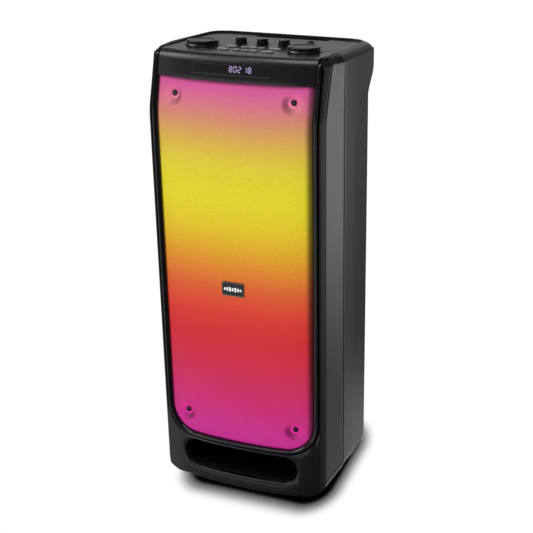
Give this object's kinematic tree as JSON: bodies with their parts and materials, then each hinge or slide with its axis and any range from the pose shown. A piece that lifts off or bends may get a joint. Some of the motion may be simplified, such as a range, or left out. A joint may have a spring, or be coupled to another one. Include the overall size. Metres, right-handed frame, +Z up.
{
  "type": "tower party speaker",
  "caption": "Tall powered party speaker with a light-up perforated front, slot port, top control deck with jog dials, knobs and buttons, rear sockets and rubber feet.",
  "frame": {"origin": "centre of the footprint box on the floor, at the underside of the feet", "axes": "+Z up, the lit front faces -Y, +X is the right-hand side seen from the front"},
  "size_m": [0.325, 0.31, 0.8005],
  "materials": {
    "shell_plastic": "fine texture",
    "rear_plastic": "fine texture",
    "gloss_black": "polished",
    "lit_grille": "perforated, lit from behind",
    "dark_steel": "satin black",
    "deck_plastic": "satin",
    "badge_metal": "brushed",
    "badge_pale": "gloss",
    "button_plastic": "satin",
    "black_plastic": "satin",
    "rubber": "matte",
    "plated_steel": "plated",
    "brass": "bright",
    "board_wood": "fibreboard",
    "diffuser": "milky",
    "led_tape": "satin",
    "magnet_iron": "satin",
    "cone_paper": "pressed fibre",
    "green_board": "solder mask",
    "sink_aluminium": "extruded",
    "lead_wire": "insulated"
  },
  "bodies": {
    "cabinet": {"front_shell": "shell_plastic", "rear_shell": "rear_plastic", "trim_ring": "gloss_black", "front_grille": "lit_grille", "grille_screws": "dark_steel", "control_panel": "deck_plastic", "display_window": "gloss_black", "badge": "badge_metal", "badge_mark": "badge_pale", "top_jack": "black_plastic", "handle_pocket": "black_plastic", "port_duct": "black_plastic", "rubber_feet": "rubber", "io_panel": "black_plastic", "io_screws": "plated_steel", "mic_jack": "black_plastic", "aux_jack": "black_plastic", "usb_port": "plated_steel", "ac_inlet": "black_plastic", "ac_pins": "brass", "baffle_board": "board_wood", "light_panel": "diffuser", "led_strips": "led_tape", "woofer_frame_low": "dark_steel", "woofer_frame_high": "dark_steel", "woofer_magnets": "magnet_iron", "woofer_surround_low": "rubber", "woofer_surround_high": "rubber", "woofer_screws": "plated_steel", "tweeter_horn": "black_plastic", "tweeter_driver": "magnet_iron", "amp_board": "green_board", "amp_heatsink": "sink_aluminium", "board_posts": "brass", "power_supply": "plated_steel", "control_board": "green_board", "encoders": "plated_steel", "tact_switches": "black_plastic", "speaker_leads": "lead_wire"},
    "jog_left": {"jog_left": "gloss_black"},
    "jog_right": {"jog_right": "gloss_black"},
    "knob_left": {"knob_left": "gloss_black"},
    "knob_centre": {"knob_centre": "gloss_black"},
    "knob_right": {"knob_right": "gloss_black"},
    "woofer_cone_low": {"woofer_cone_low": "cone_paper"},
    "woofer_cone_high": {"woofer_cone_high": "cone_paper"},
    "button_f1": {"button_f1": "button_plastic"},
    "button_f2": {"button_f2": "button_plastic"},
    "button_f3": {"button_f3": "button_plastic"},
    "button_f4": {"button_f4": "button_plastic"},
    "button_f5": {"button_f5": "button_plastic"},
    "button_r1": {"button_r1": "button_plastic"},
    "button_r2": {"button_r2": "button_plastic"},
    "button_r3": {"button_r3": "button_plastic"},
    "button_r4": {"button_r4": "button_plastic"},
    "button_r5": {"button_r5": "button_plastic"}
  },
  "joints": [
    {"name": "jog_left_turn", "type": "hinge", "parent": "cabinet", "child": "jog_left", "pos_m": [-0.09, -0.04, 0.788], "axis": [0, 0.0995, 0.995], "continuous": true},
    {"name": "jog_right_turn", "type": "hinge", "parent": "cabinet", "child": "jog_right", "pos_m": [0.09, -0.04, 0.788], "axis": [0, 0.0995, 0.995], "continuous": true},
    {"name": "knob_left_turn", "type": "hinge", "parent": "cabinet", "child": "knob_left", "pos_m": [-0.039, 0.005, 0.7835], "axis": [0, 0.0995, 0.995], "range_deg": [-150, 150]},
    {"name": "knob_centre_turn", "type": "hinge", "parent": "cabinet", "child": "knob_centre", "pos_m": [0, 0.005, 0.7835], "axis": [0, 0.0995, 0.995], "range_deg": [-150, 150]},
    {"name": "knob_right_turn", "type": "hinge", "parent": "cabinet", "child": "knob_right", "pos_m": [0.039, 0.005, 0.7835], "axis": [0, 0.0995, 0.995], "range_deg": [-150, 150]},
    {"name": "button_f1_press", "type": "slide", "parent": "cabinet", "child": "button_f1", "axis": [0, -0.0995, -0.995], "range_m": [0, 0.0008], "stiffness_N_per_m": 800},
    {"name": "button_f2_press", "type": "slide", "parent": "cabinet", "child": "button_f2", "axis": [0, -0.0995, -0.995], "range_m": [0, 0.0008], "stiffness_N_per_m": 800},
    {"name": "button_f3_press", "type": "slide", "parent": "cabinet", "child": "button_f3", "axis": [0, -0.0995, -0.995], "range_m": [0, 0.0008], "stiffness_N_per_m": 800},
    {"name": "button_f4_press", "type": "slide", "parent": "cabinet", "child": "button_f4", "axis": [0, -0.0995, -0.995], "range_m": [0, 0.0008], "stiffness_N_per_m": 800},
    {"name": "button_f5_press", "type": "slide", "parent": "cabinet", "child": "button_f5", "axis": [0, -0.0995, -0.995], "range_m": [0, 0.0008], "stiffness_N_per_m": 800},
    {"name": "button_r1_press", "type": "slide", "parent": "cabinet", "child": "button_r1", "axis": [0, -0.0995, -0.995], "range_m": [0, 0.0008], "stiffness_N_per_m": 800},
    {"name": "button_r2_press", "type": "slide", "parent": "cabinet", "child": "button_r2", "axis": [0, -0.0995, -0.995], "range_m": [0, 0.0008], "stiffness_N_per_m": 800},
    {"name": "button_r3_press", "type": "slide", "parent": "cabinet", "child": "button_r3", "axis": [0, -0.0995, -0.995], "range_m": [0, 0.0008], "stiffness_N_per_m": 800},
    {"name": "button_r4_press", "type": "slide", "parent": "cabinet", "child": "button_r4", "axis": [0, -0.0995, -0.995], "range_m": [0, 0.0008], "stiffness_N_per_m": 800},
    {"name": "button_r5_press", "type": "slide", "parent": "cabinet", "child": "button_r5", "axis": [0, -0.0995, -0.995], "range_m": [0, 0.0008], "stiffness_N_per_m": 800},
    {"name": "cone_low_stroke", "type": "slide", "parent": "cabinet", "child": "woofer_cone_low", "axis": [0, 1, 0], "range_m": [-0.003, 0.003], "stiffness_N_per_m": 2500},
    {"name": "cone_high_stroke", "type": "slide", "parent": "cabinet", "child": "woofer_cone_high", "axis": [0, 1, 0], "range_m": [-0.003, 0.003], "stiffness_N_per_m": 2500}
  ]
}
